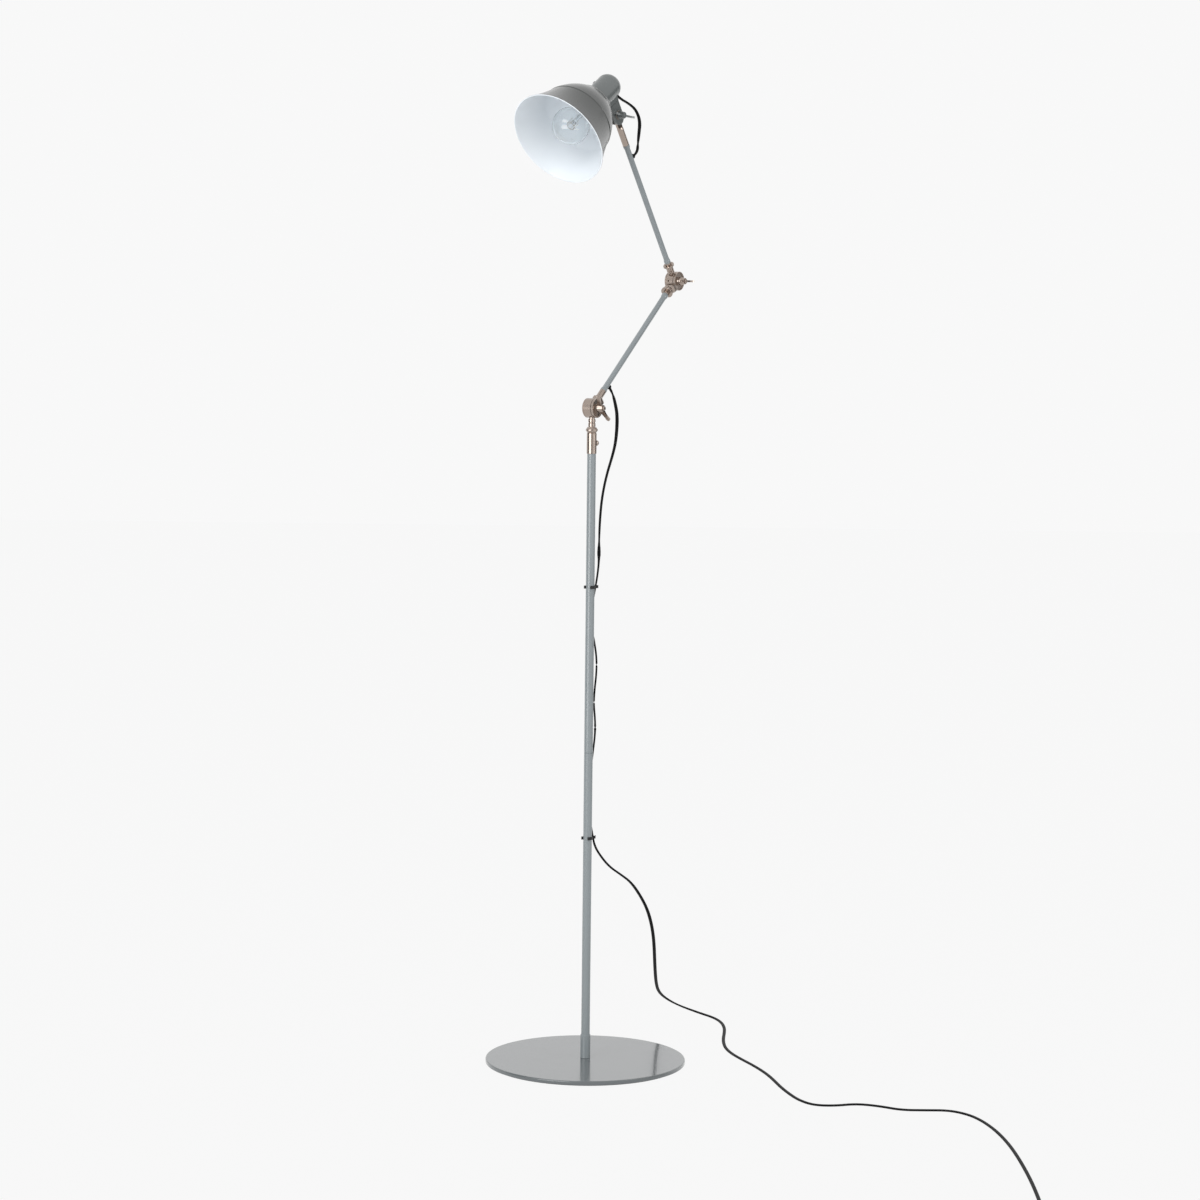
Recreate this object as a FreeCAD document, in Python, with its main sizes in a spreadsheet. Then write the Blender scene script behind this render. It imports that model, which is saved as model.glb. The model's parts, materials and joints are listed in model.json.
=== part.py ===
# Articulated floor lamp: round steel base, straight pole, two arms on drum hinges with
# wing nuts, and a bell shade on a socket cap. Millimetres, +Z up, origin on the floor at
# the centre of the base. The pieces are drawn in the pose in which the lamp is shown.
import FreeCAD, Part
import math
import os
import re
import Sketcher
from FreeCAD import Placement, Rotation, Vector

# ---------------------------------------------------------------- driving dimensions
DIMENSIONS = [
    # base and pole
    ("base_diameter", 300), ("plate_thickness", 6), ("pad_thickness", 1.5), ("pad_diameter", 292),
    ("foot_diameter", 15), ("foot_top", 43.5), ("pole_diameter", 13),
    ("pole_wall", 1.2), ("pole_split", 470), ("pole_top", 936), ("base_screw_diameter", 8),
    # pole head
    ("sleeve_diameter", 14.6), ("sleeve_bottom", 916), ("sleeve_top", 947),
    ("lock_ring_diameter", 18), ("lock_ring_top", 955.4), ("stem_diameter", 8),
    ("set_screw_height", 931.8), ("hinge_height", 983.5),
    # cord clips on the pole
    ("clip_high", 718), ("clip_low", 341.5), ("clip_turn", 54), ("clip_height", 4.4), ("cord_reach", 13.5),
    # drum hinges
    ("drum_diameter", 29), ("drum_back", 9), ("drum_front", 5.5), ("leaf_back", 6.15),
    ("leaf_front", 10), ("bolt_diameter", 6), ("bolt_reach", 22.4), ("neck_diameter", 10.9),
    ("neck_end", 27.6), ("spigot_diameter", 4.4), ("nut_seat", 10.5), ("running_fit", 0.05),
    ("wing_span", 48), ("wing_thickness", 2.8),
    # arms
    ("arm_length", 300), ("tube_diameter", 8.4), ("tube_wall", 1), ("collar_diameter", 10),
    ("lower_tube_start", 38), ("lower_tube_end", 266), ("upper_tube_start", 34.4),
    ("upper_tube_end", 247.5), ("lower_exit", 54), ("upper_exit", 224), ("exit_side", 80),
    ("tongue_width", 11), ("tongue_thickness", 4),
    ("arm_azimuth", 32), ("lower_arm_lean", 50.8), ("elbow_bend", 86.9), ("arm_twist", 6),
    # head
    ("head_turn", 90), ("head_offset", 45), ("rim_diameter", 151), ("rim_front", 133.4),
    ("shade_wall", 0.9), ("ridge_diameter", 114.5), ("ridge_front", 81), ("shade_neck", 30.4),
    ("shoulder_radius", 33), ("cap_diameter", 38), ("cap_wall", 1.6), ("cap_shoulder", 8), ("cap_end", 21.6),
    ("fork_width", 21), ("fork_thickness", 12.4), ("fork_top", 19.2), ("fork_bottom", 15.5),
    ("fork_nut_seat", 7.7), ("fork_screw_offset", 5.5), ("bulb_diameter", 55), ("bulb_centre", 98.4),
    ("switch_place", 9.5), ("outlet_reach", 16.8), ("outlet_drop", 14.4), ("outlet_angle", 28),
    # cord
    ("cord_diameter", 5.2), ("coil_outer_turn", 36), ("coil_turn_step", 5.8), ("coil_layer_step", 5.8),
]

doc = FreeCAD.newDocument("floor_lamp")
sheet = doc.addObject("Spreadsheet::Sheet", "dims")
for row, (alias, number) in enumerate(DIMENSIONS, start=1):
    sheet.set(f"A{row}", alias.replace("_", " "))
    sheet.set(f"B{row}", str(number))
    sheet.setAlias(f"B{row}", alias)
doc.recompute()

X_AXIS, Y_AXIS, Z_AXIS = Vector(1, 0, 0), Vector(0, 1, 0), Vector(0, 0, 1)
PIECES = []


# ---------------------------------------------------------------- helpers
def bound(text):
    """An expression on the sheet; its aliases are the words that hold an underscore."""
    return re.sub(r"[a-z]+(_[a-z]+)+", r"dims.\g<0>", str(text))


def size(text):
    """The value of an expression on the sheet."""
    return float(sheet.evalExpression(bound(text)))


def turn(axis, angle):
    return Placement(Vector(), Rotation(axis, angle))


def shift(x, y, z):
    return Placement(Vector(x, y, z), Rotation())


def along(start, direction):
    """A frame at start whose Z axis points in a direction."""
    return Placement(start, Rotation(Z_AXIS, direction))


def new_body(label, frame):
    body = doc.addObject("PartDesign::Body", label)
    body.Label = label
    body.Placement = frame
    PIECES.append(body)
    return body


def origin_feature(body, role):
    return next(feature for feature in body.Origin.OriginFeatures if feature.Role == role)


def arc_middle(start, end, radius):
    """The middle of the shorter arc from start to end; with a positive radius it turns left."""
    chord = end - start
    rise = abs(radius) - math.sqrt(max(radius ** 2 - (chord.Length / 2) ** 2, 0))
    right = Vector(chord.y, -chord.x, 0).normalize()
    return start + chord * 0.5 + right * math.copysign(rise, radius)


def outline(body, corners, plane):
    """A closed outline with every corner bound to the sheet.

    A corner is (x, y), reached by a straight line, or (x, y, radius), reached by an arc.
    """
    sketch = body.newObject("Sketcher::SketchObject", body.Label + "_outline")
    sketch.AttachmentSupport = [(origin_feature(body, plane), "")]
    sketch.MapMode = "FlatFace"
    places = [Vector(size(corner[0]), size(corner[1]), 0) for corner in corners]
    edges, ends = [], []
    for index, corner in enumerate(corners):
        start, end = places[index - 1], places[index]
        if len(corner) == 2:
            edges.append(Part.LineSegment(start, end))
            ends.append((1, 2))
        else:
            edges.append(Part.Arc(start, arc_middle(start, end, size(corner[2])), end))
            ends.append((1, 2) if size(corner[2]) > 0 else (2, 1))
    sketch.addGeometry(edges)
    rules, formulas = [], []
    for index in range(len(edges)):
        following = (index + 1) % len(edges)
        rules.append(Sketcher.Constraint("Coincident", index, ends[index][1], following, ends[following][0]))
    for index, corner in enumerate(corners):
        for kind, text, other_axis in (("DistanceX", corner[0], -2), ("DistanceY", corner[1], -1)):
            if size(text) == 0:
                rules.append(Sketcher.Constraint("PointOnObject", index, ends[index][1], other_axis))
            else:
                formulas.append((len(rules), bound(text)))
                rules.append(Sketcher.Constraint(kind, -1, 1, index, ends[index][1], size(text)))
        if len(corner) == 3:
            formulas.append((len(rules), f"abs({bound(corner[2])})"))
            rules.append(Sketcher.Constraint("Radius", index, abs(size(corner[2]))))
    sketch.addConstraint(rules)
    for index, formula in formulas:
        sketch.setExpression(f"Constraints[{index}]", formula)
    return sketch


def revolve(body, corners, about="V_Axis", kind="Revolution"):
    """Turns an outline of the XZ plane about that plane's upright or level axis."""
    sketch = outline(body, corners, "XZ_Plane")
    feature = body.newObject("PartDesign::" + kind, body.Label + "_turned")
    feature.Profile = sketch
    feature.ReferenceAxis = (sketch, [about])
    feature.Angle = 360
    body.Tip = feature
    return feature


def extrude(body, corners, low, high, plane, kind="Pad"):
    """Pads or pockets an outline from low to high along the normal axis of its plane."""
    sketch = outline(body, corners, plane)
    start = f"-({bound(high)})" if plane == "XZ_Plane" else bound(low)
    sketch.setExpression("AttachmentOffset.Base.z", start)
    feature = body.newObject("PartDesign::" + kind, body.Label + "_" + kind.lower())
    feature.Profile = sketch
    feature.Reversed = kind == "Pocket"
    feature.setExpression("Length", f"({bound(high)}) - ({bound(low)})")
    body.Tip = feature
    return feature


def cylinder(body, kind, frame, diameter, length):
    """Adds or cuts a cylinder that stands on the origin of a frame given in the body."""
    feature = body.newObject("PartDesign::" + kind, body.Label + "_cylinder")
    feature.setExpression("Radius", f"({bound(diameter)}) / 2")
    feature.setExpression("Height", bound(length))
    feature.AttachmentOffset = frame
    feature.AttachmentSupport = [(origin_feature(body, "XY_Plane"), "")]
    feature.MapMode = "FlatFace"
    body.Tip = feature
    return feature


def drill(body, start, direction, diameter, depth):
    return cylinder(body, "SubtractiveCylinder", along(start, direction), diameter, depth)


def turned(label, frame, corners, about="V_Axis"):
    body = new_body(label, frame)
    revolve(body, corners, about)
    return body


def ring(label, frame, inner, outer, low, high, about="V_Axis", edge=0.3):
    """A plain turned ring with broken outer edges."""
    across = [(inner, low), (f"{outer} - {edge}", low), (outer, f"{low} + {edge}"),
              (outer, f"{high} - {edge}"), (f"{outer} - {edge}", high), (inner, high)]
    if about == "H_Axis":
        across = [(place, radius) for radius, place in across]
    return turned(label, frame, across, about)


def rectangle(low_x, high_x, low_y, high_y):
    return [(low_x, low_y), (high_x, low_y), (high_x, high_y), (low_x, high_y)]


# ---------------------------------------------------------------- frames of the moving bodies
WORLD = Placement()
OVER = turn(X_AXIS, 180)
POLE_HINGE = shift(0, 0, size("hinge_height")) * turn(Z_AXIS, -size("arm_azimuth"))
LOWER_ARM = POLE_HINGE * turn(X_AXIS, -size("lower_arm_lean"))
ELBOW_LOW = LOWER_ARM * shift(0, 0, size("arm_length"))
ELBOW_HIGH = ELBOW_LOW * turn(X_AXIS, size("elbow_bend"))
UPPER_ARM = ELBOW_HIGH * turn(Z_AXIS, -size("arm_twist"))
ARM_END = UPPER_ARM * shift(0, 0, size("arm_length"))
HEAD = ARM_END * turn(X_AXIS, size("head_turn"))
HEAD_AXIS = HEAD * shift(0, size("head_offset"), 0)


# ---------------------------------------------------------------- base and pole
def build_base():
    plate_top = "pad_thickness + plate_thickness"
    screw = "base_screw_diameter / 2"
    ring("base_pad", WORLD, "0", "pad_diameter / 2", "0", "pad_thickness")
    turned("base_plate", WORLD, [
        ("base_screw_diameter + 0.4", "pad_thickness"), ("base_diameter / 2 - 0.6", "pad_thickness"),
        ("base_diameter / 2", "pad_thickness + 0.6"), ("base_diameter / 2", plate_top + " - 1.8"),
        ("base_diameter / 2 - 1.8", plate_top, "1.8"), (screw + " + 0.1", plate_top),
        (screw + " + 0.1", "pad_thickness + 4.3"),
    ])
    base_screw = turned("base_screw", WORLD, [
        ("0", "pad_thickness + 0.3"), ("base_screw_diameter - 0.2", "pad_thickness + 0.3"),
        (screw, "pad_thickness + 4.2"), (screw, "29"), (screw + " - 1", "30"), ("0", "30"),
    ])
    socket = [(f"2.9 * cos({60 * side + 15})", f"2.9 * sin({60 * side + 15})") for side in range(6)]
    extrude(base_screw, socket, "0", "pad_thickness + 3.3", "XY_Plane", "Pocket")
    ring("foot_plug", WORLD, screw + " + 0.03", "pole_diameter / 2 - pole_wall - 0.05", plate_top, "36")
    ring("foot_collar", WORLD, "pole_diameter / 2 + 0.03", "foot_diameter / 2", plate_top, "foot_top", edge=0.5)


def build_pole():
    outer, inner = "pole_diameter / 2", "pole_diameter / 2 - pole_wall"
    ring("lower_pole", WORLD, inner, outer, "pad_thickness + plate_thickness", "pole_split - 0.1", edge=0.4)
    ring("pole_stud", WORLD, "2.5", inner + " - 0.05", "pole_split - 22", "pole_split + 22", edge=0.8)
    upper_pole = ring("upper_pole", WORLD, inner, outer, "pole_split + 0.1", "pole_top", edge=0.4)
    bore, stem = "pole_diameter / 2 + 0.03", "stem_diameter / 2 + running_fit"
    sleeve = turned("pole_sleeve", WORLD, [
        (bore, "sleeve_bottom"), ("sleeve_diameter / 2 - 0.5", "sleeve_bottom"),
        ("sleeve_diameter / 2", "sleeve_bottom + 0.5"), ("sleeve_diameter / 2", "sleeve_top - 0.8"),
        ("sleeve_diameter / 2 - 0.8", "sleeve_top"), (stem, "sleeve_top"),
        (stem, "pole_top + 0.2"), (bore, "pole_top + 0.2"),
    ])
    for tube in (upper_pole, sleeve):
        drill(tube, Vector(0, 0, size("set_screw_height")), X_AXIS, "4.2", "pole_diameter")
    turned("swivel_ring", WORLD, [
        (stem, "sleeve_top"), ("6.5", "sleeve_top"), ("lock_ring_diameter / 2", "sleeve_top + 3.4"),
        ("lock_ring_diameter / 2", "sleeve_top + 4.8"), ("6.5", "lock_ring_top"), (stem, "lock_ring_top"),
    ])
    # The tip of this screw runs in a groove of the swivel stem and keeps the pole head down.
    turned("sleeve_screw", shift(0, 0, size("set_screw_height")), [
        ("3.7", "0"), ("3.7", "1.4"), ("4.3", "1.9"), ("sleeve_diameter / 2 + 0.02", "1.9"),
        ("sleeve_diameter / 2 + 0.02", "4"), ("sleeve_diameter / 2 + 1", "4"),
        ("sleeve_diameter / 2 + 3.4", "0.8", "-4.4"), ("sleeve_diameter / 2 + 3.4", "0"),
    ], "H_Axis")


def build_clip(label, height):
    """A sprung C-clip on the pole whose X axis points through a smaller C that holds the cord."""
    clip = new_body(label, shift(0, 0, size(height)) * turn(Z_AXIS, size("clip_turn")))
    low, high = "clip_height / -2", "clip_height / 2"
    inner, outer, hook = "pole_diameter / 2 + 0.05", "pole_diameter / 2 + 1.25", "cord_diameter / 2 + 1.6"
    revolve(clip, [(inner, low), (outer, low), (outer, high), (inner, high)])
    extrude(clip, rectangle("pole_diameter / 2 + 0.6", "cord_reach - 3.2", "-1.3", "1.3"), low, high, "XY_Plane")
    floor = size(low)
    cylinder(clip, "AdditiveCylinder", shift(size("cord_reach"), 0, floor), f"2 * ({hook})", "clip_height")
    extrude(clip, [("-1", "0"), ("-13", "12.4"), ("-13", "-12.4")], low + " - 1", high + " + 1", "XY_Plane", "Pocket")
    for side in (-134, 134):
        lip = Rotation(Z_AXIS, side).multVec(Vector(size(inner) + 1.5, 0, floor))
        cylinder(clip, "AdditiveCylinder", shift(lip.x, lip.y, floor), "2.9", "clip_height")
    cylinder(clip, "SubtractiveCylinder", shift(size("cord_reach"), 0, floor - 1), "cord_diameter + 1.2",
             "clip_height + 2")
    extrude(clip, rectangle("cord_reach + 1", "cord_reach + 6", "-1.9", "1.9"), low + " - 1", high + " + 1",
            "XY_Plane", "Pocket")


# ---------------------------------------------------------------- drum hinges
# A hinge's own frame has its pivot at the origin, its pin along X and its neck along +Z.
def build_drum(label, frame, stem_end, stem):
    """The hinge half that carries the pin: a drum with a grooved neck and a turning stem."""
    drum = new_body(label, frame)
    bore, face = "bolt_diameter / 2 + 0.02", "drum_diameter / 2"
    revolve(drum, [
        ("-drum_back", bore), ("-drum_back", face + " - 1"), ("1 - drum_back", face),
        ("2.4 - drum_back", face), ("2.7 - drum_back", face + " - 0.4"), ("3 - drum_back", face),
        ("drum_front - 0.5", face), ("drum_front", face + " - 0.5"), ("drum_front", bore),
    ], "H_Axis")
    neck = "neck_diameter / 2"
    corners = [
        ("0", "10"), ("4.3", "10"), ("4.3", "16.3"), (neck + " - 0.3", "16.3"), (neck, "16.6"),
        (neck, "20.6"), (neck + " - 0.7", "21.1"), (neck + " - 0.7", "22"), (neck, "22.5"),
        (neck, "neck_end - 0.3"), (neck + " - 0.3", "neck_end"), (stem, "neck_end"),
    ]
    if size(stem_end) > 60:
        groove = "hinge_height - set_screw_height"
        corners += [(stem, groove + " - 2.6"), ("3.3", groove + " - 2.2"),
                    ("3.3", groove + " + 2.2"), (stem, groove + " + 2.6")]
    corners += [(stem, f"{stem_end} - 0.8"), (stem + " - 0.8", stem_end), ("0", stem_end)]
    revolve(drum, corners)
    extrude(drum, rectangle("-3.55", "3.55", "-3.55", "3.55"), "-drum_back - 1", "3.4 - drum_back",
            "YZ_Plane", "Pocket")
    side = math.radians(54)
    outward = Vector(0, -math.sin(side), math.cos(side))
    drill(drum, Vector(-1.6, 0, 0) + outward * (size("drum_diameter / 2") - 3.5), outward, "3", "6")
    return drum


def build_leaf(label, frame, neck_corners):
    """The clamped hinge half: a rimmed disc with a lug cranked back over the drum to its neck."""
    leaf = new_body(label, frame)
    bore, face = "bolt_diameter / 2 + running_fit", "drum_diameter / 2"
    revolve(leaf, [
        ("leaf_back", bore), ("leaf_back", face + " - 0.4"), ("leaf_back + 0.4", face),
        ("leaf_front - 0.6", face), ("leaf_front", face + " - 0.6"), ("leaf_front", face + " - 1.7"),
        ("leaf_front - 1.2", face + " - 2.2"), ("leaf_front - 1.2", bore),
    ], "H_Axis")
    half = "neck_diameter / 2"
    extrude(leaf, [
        ("leaf_back", "9"), ("leaf_front - 1.3", "9"), ("leaf_front - 0.4", "14"), ("leaf_front - 0.4", "17.5"),
        (half, "22.5", "6"), (f"-{half}", "22.5"), (f"-{half}", "15.3"), ("leaf_back", "15.3"),
    ], "neck_diameter / -2", "neck_diameter / 2", "XZ_Plane")
    revolve(leaf, neck_corners)
    return leaf


def build_pin(label, frame):
    """A carriage bolt: domed head, square neck, plain shank."""
    pin = new_body(label, frame)
    shank = "bolt_diameter / 2"
    revolve(pin, [
        ("-drum_back - 3", "0"), ("-drum_back - 0.6", "6.8", "-12"), ("-drum_back - 0.05", "6.8"),
        ("-drum_back - 0.05", shank), ("bolt_reach - 0.6", shank), ("bolt_reach", shank + " - 0.6"),
        ("bolt_reach", "0"),
    ], "H_Axis")
    extrude(pin, rectangle("-3.5", "3.5", "-3.5", "3.5"), "-drum_back - 0.6", "3.3 - drum_back", "YZ_Plane")


def build_wing_nut(label, frame):
    """A cast wing nut standing on the plane x = 0 of its frame, wings along +Z and -Z."""
    nut = new_body(label, frame)
    revolve(nut, [
        ("0", "2.6"), ("0", "6.2"), ("0.8", "6.4"), ("5", "5.6", "-30"), ("9.5", "4.7"), ("9.5", "2.6"),
    ], "H_Axis")
    wing = extrude(nut, [
        ("1.6", "3.5"), ("1.8", "7.5"), ("6.2", "wing_span / 2 - 5.5"),
        ("9.4", "wing_span / 2", "-4.6"), ("12.4", "wing_span / 2 - 3", "-3.2"),
        ("9.2", "7.5", "26"), ("8.8", "3.5"),
    ], "wing_thickness / -2", "wing_thickness / 2", "XZ_Plane")
    mirror = nut.newObject("PartDesign::Mirrored", label + "_second_wing")
    mirror.Originals = [wing]
    mirror.MirrorPlane = (origin_feature(nut, "XY_Plane"), [""])
    nut.Tip = mirror
    bore = "bolt_diameter / 2 + running_fit"
    revolve(nut, [("-1", "0"), ("-1", bore), ("14", bore), ("14", "0")], "H_Axis", "Groove")


def build_hinges():
    shank_fit = "bolt_diameter / 2 + 0.02"
    for place, drum_frame, leaf_frame in (
            ("pole_hinge", POLE_HINGE * OVER, LOWER_ARM), ("elbow", ELBOW_HIGH, ELBOW_LOW * OVER)):
        build_pin(place + "_bolt", drum_frame)
        ring(place + "_friction_washer", drum_frame, shank_fit, "13", "drum_front", "drum_front + 0.35",
             "H_Axis", 0.1)
        ring(place + "_washer", leaf_frame, "bolt_diameter / 2 + running_fit", "6.6",
             "leaf_front - 1.2", "leaf_front + 0.2", "H_Axis", 0.2)
    build_drum("pole_hinge_drum", POLE_HINGE * OVER, "64", "stem_diameter / 2")
    build_drum("elbow_drum", ELBOW_HIGH, "47", "spigot_diameter / 2")
    spigot = "tube_diameter / 2 - tube_wall - 0.03"
    ball = [("0", "16.5"), ("4.26", "16.5"), ("6.2", "21", "6.2"), ("4.9", "24.8", "6.2")]
    build_leaf("lower_arm_leaf", LOWER_ARM, ball + [
        ("4.9", "lower_tube_start"), (spigot, "lower_tube_start"), (spigot, "lower_tube_start + 9"),
        ("0", "lower_tube_start + 9"),
    ])
    seat = "arm_length - lower_tube_end"
    build_leaf("elbow_leaf", ELBOW_LOW * OVER, ball + [
        ("4.9", "25.6"), ("9", "25.6"), ("9.3", "25.9"), ("9.3", "28.2"), ("9", "28.5"), ("4.9", "28.5"),
        ("4.9", seat), (spigot, seat), (spigot, seat + " + 12"), ("0", seat + " + 12"),
    ])
    # The angle is that of the wings about the pin.
    for label, frame, seat, angle in (
            ("pole_hinge_wing_nut", POLE_HINGE, "nut_seat", 40),
            ("elbow_wing_nut", ELBOW_HIGH, "nut_seat", 54),
            ("head_wing_nut", ARM_END, "fork_nut_seat", 49)):
        build_wing_nut(label, frame * shift(size(seat), 0, 0) * turn(X_AXIS, angle))


# ---------------------------------------------------------------- arms
def build_tube(label, frame, start, end, exit_place):
    """A painted tube whose ends swell into short collars, with a side hole for the cord."""
    inner, outer, collar = "tube_diameter / 2 - tube_wall", "tube_diameter / 2", "collar_diameter / 2"
    tube = turned(label, frame, [
        (inner, start), (f"{collar} - 0.4", start), (collar, f"{start} + 0.4"), (collar, f"{start} + 4"),
        (outer, f"{start} + 7.5"), (outer, f"{end} - 7.5"), (collar, f"{end} - 4"), (collar, f"{end} - 0.4"),
        (f"{collar} - 0.4", end), (inner, end),
    ])
    drill(tube, Vector(0, 0, size(exit_place)), exit_way(), "5", "tube_diameter")


def exit_way():
    return Rotation(Z_AXIS, size("exit_side")).multVec(X_AXIS)


def build_grommet(label, frame, exit_place):
    """A rubber grommet in the side hole of an arm tube."""
    turned(label, frame * along(Vector(0, 0, size(exit_place)), exit_way()), [
        ("1.5", "3.4"), ("2.45", "3.4"), ("2.45", "4.3"), ("3.7", "4.3"), ("3.7", "5.2"),
        ("2.9", "7.2", "2.6"), ("1.5", "7.2"),
    ])


def build_arms():
    build_tube("lower_arm_tube", LOWER_ARM, "lower_tube_start", "lower_tube_end", "lower_exit")
    build_tube("upper_arm_tube", UPPER_ARM, "upper_tube_start", "upper_tube_end", "upper_exit")
    build_grommet("lower_arm_grommet", LOWER_ARM, "lower_exit")
    build_grommet("upper_arm_grommet", UPPER_ARM, "upper_exit")
    bore, spigot = "spigot_diameter / 2 + running_fit", "tube_diameter / 2 - tube_wall - 0.03"
    turned("upper_arm_flange", UPPER_ARM, [
        (bore, "neck_end + 0.3"), ("8", "neck_end + 0.3"), ("8.4", "neck_end + 0.7"), ("8.4", "neck_end + 2.5"),
        ("8", "neck_end + 2.9"), ("4.9", "neck_end + 2.9"), ("4.9", "upper_tube_start"),
        (spigot, "upper_tube_start"), (spigot, "48"), (bore, "48"),
    ])
    sleeve_end = "arm_length - 21.5"
    tongue = turned("upper_arm_tongue", UPPER_ARM, [
        ("0", "upper_tube_end - 11"), (spigot, "upper_tube_end - 11"), (spigot, "upper_tube_end"),
        ("4.9", "upper_tube_end"), ("4.9", sleeve_end + " - 3"), ("4.2", sleeve_end), ("0", sleeve_end),
    ])
    half = "tongue_width / 2"
    extrude(tongue, [
        (f"1.2 - {half}", sleeve_end + " - 6"), (f"{half} - 1.2", sleeve_end + " - 6"), (half, "arm_length - 8"),
        (half, "arm_length"), ("0", f"arm_length + {half}", half), (f"-{half}", "arm_length", half),
        (f"-{half}", "arm_length - 8"),
    ], "tongue_thickness / -2", "tongue_thickness / 2", "YZ_Plane")
    drill(tongue, Vector(-5, 0, size("arm_length")), X_AXIS, "bolt_diameter + 2 * running_fit", "10")


# ---------------------------------------------------------------- head
def build_fork():
    """The fork that holds the arm's tongue, its pad against the cap, and its screws and pin."""
    half, centre = "fork_width / 2", "fork_width / 2 - fork_bottom"
    side, slot = "fork_thickness / 2", "tongue_thickness / 2 + 0.3"
    screw_places = [size("fork_screw_offset"), -size("fork_screw_offset")]
    fork = new_body("head_fork", HEAD)
    extrude(fork, [
        ("fork_top", f"-{half}"), ("fork_top", half), (centre, half), ("-fork_bottom", "0", half),
        (centre, f"-{half}", half),
    ], "fork_thickness / -2", side, "YZ_Plane")
    extrude(fork, rectangle(f"-({slot})", slot, "-fork_bottom - 2", "9"), "-fork_width", "fork_width",
            "XY_Plane", "Pocket")
    drill(fork, Vector(-10, 0, 0), X_AXIS, "bolt_diameter + 0.04", "20")
    pad = new_body("fork_pad", HEAD)
    extrude(pad, rectangle(f"0.3 - {side}", f"{side} - 0.3", f"0.3 - {half}", f"{half} - 0.3"),
            "fork_top + 0.02", "fork_top + 1.02", "XZ_Plane")
    for place in screw_places:
        drill(fork, Vector(0, 11, place), Y_AXIS, "3.04", "20")
        drill(pad, Vector(0, 11, place), Y_AXIS, "3.04", "20")
    for label, place in zip(("fork_screw_front", "fork_screw_rear"), screw_places):
        head = "head_offset - cap_diameter / 2 + cap_wall + 0.32"
        turned(label, HEAD * along(Vector(0, 0, place), Y_AXIS), [
            ("0", "11.3"), ("1.5", "11.3"), ("1.5", head), ("2.6", head), ("2.6", head + " + 0.7"),
            ("2", head + " + 1.2"), ("0", head + " + 1.2"),
        ])
    reach, face = "fork_thickness / 2 + 12", "-fork_thickness / 2"
    turned("head_bolt", HEAD, [
        (face + " - 3.2", "0"), (face + " - 2.6", "5.2", "-24"), (face + " - 0.02", "5.5"),
        (face + " - 0.02", "bolt_diameter / 2"), (reach + " - 0.6", "bolt_diameter / 2"),
        (reach, "bolt_diameter / 2 - 0.6"), (reach, "0"),
    ], "H_Axis")
    ring("head_washer", HEAD, "bolt_diameter / 2 + 0.02", "6.6", side, "fork_nut_seat - 0.3", "H_Axis", 0.2)


def outlet_frame():
    """Where the lead leaves the foot of the cap's dome, Z pointing outwards."""
    angle = math.radians(size("outlet_angle"))
    way = Vector(0, -math.cos(angle), -math.sin(angle))
    return along(Vector(0, -size("outlet_reach"), -size("outlet_drop")), way)


def build_cap():
    """The socket cap: a domed shell with a flat boss for the fork and holes for switch and cord."""
    cap = new_body("socket_cap", HEAD_AXIS)
    outer, inner = "cap_diameter / 2", "cap_diameter / 2 - cap_wall"
    bend = "cap_diameter / 2 - 4"
    mouth = "shade_neck + 0.05"
    revolve(cap, [
        ("0", mouth), (f"{outer} - 0.3", mouth), (outer, "shade_neck - 0.4"), (outer, "-cap_shoulder"),
        ("8", "1.2 - cap_end", f"-({bend})"), ("0.8", "-cap_end", "-28"), ("0", "-cap_end"),
    ])
    extrude(cap, rectangle("-7", "7", "fork_width / -2", "fork_width / 2"),
            "fork_top + 1.05 - head_offset", "-10", "XZ_Plane")
    revolve(cap, [
        ("0", "shade_neck + 1"), (inner, "shade_neck + 1"), (inner, "-cap_shoulder"),
        ("7.4", "1.2 - cap_end + cap_wall", f"-({bend} - cap_wall)"),
        ("0.8", "cap_wall - cap_end", "-26.4"), ("0", "cap_wall - cap_end"),
    ], kind="Groove")
    for place in (size("fork_screw_offset"), -size("fork_screw_offset")):
        drill(cap, Vector(0, -12, place), -Y_AXIS, "3.2", "20")
    drill(cap, Vector(-12, 0, -size("switch_place")), -X_AXIS, "6.2", "12")
    drill(cap, outlet_frame().multVec(Vector(0, 0, -5)), outlet_frame().Rotation.multVec(Z_AXIS), "6.1", "12")
    turned("head_outlet", HEAD_AXIS * outlet_frame(), [
        ("2.65", "-2.6"), ("3.02", "-2.6"), ("3.02", "0.4"), ("4.3", "0.4"), ("4.3", "1.4"),
        ("3.5", "6", "-30"), ("2.65", "6"),
    ])


def build_switch():
    """A small ribbed turn knob on the far side of the cap, with its body inside."""
    frame = HEAD_AXIS * shift(0, 0, -size("switch_place")) * turn(Y_AXIS, -90)
    surface = "cap_diameter / 2"
    turned("switch_body", frame, [
        ("0", "4"), ("4.6", "4"), ("4.6", "13"), ("3", "13"), ("3", surface + " + 0.9"),
        ("1.55", surface + " + 0.9"), ("1.55", "13.8"), ("0", "13.8"),
    ])
    knob = turned("switch_knob", frame, [
        ("0", "14.2"), ("1.5", "14.2"), ("1.5", surface + " + 1.3"), ("5", surface + " + 1.3"),
        ("5.3", surface + " + 1.7"), ("4.7", surface + " + 8.2"), ("3.9", surface + " + 9", "0.9"),
        ("0", surface + " + 9"),
    ])
    rib = cylinder(knob, "AdditiveCylinder", shift(4.9, 0, size(surface + " + 1.8")), "1.1", "6")
    ribs = knob.newObject("PartDesign::PolarPattern", "switch_knob_ribs")
    ribs.Originals = [rib]
    ribs.Axis = (origin_feature(knob, "Z_Axis"), [""])
    ribs.Angle, ribs.Occurrences = 360, 14
    knob.Tip = ribs


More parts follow.
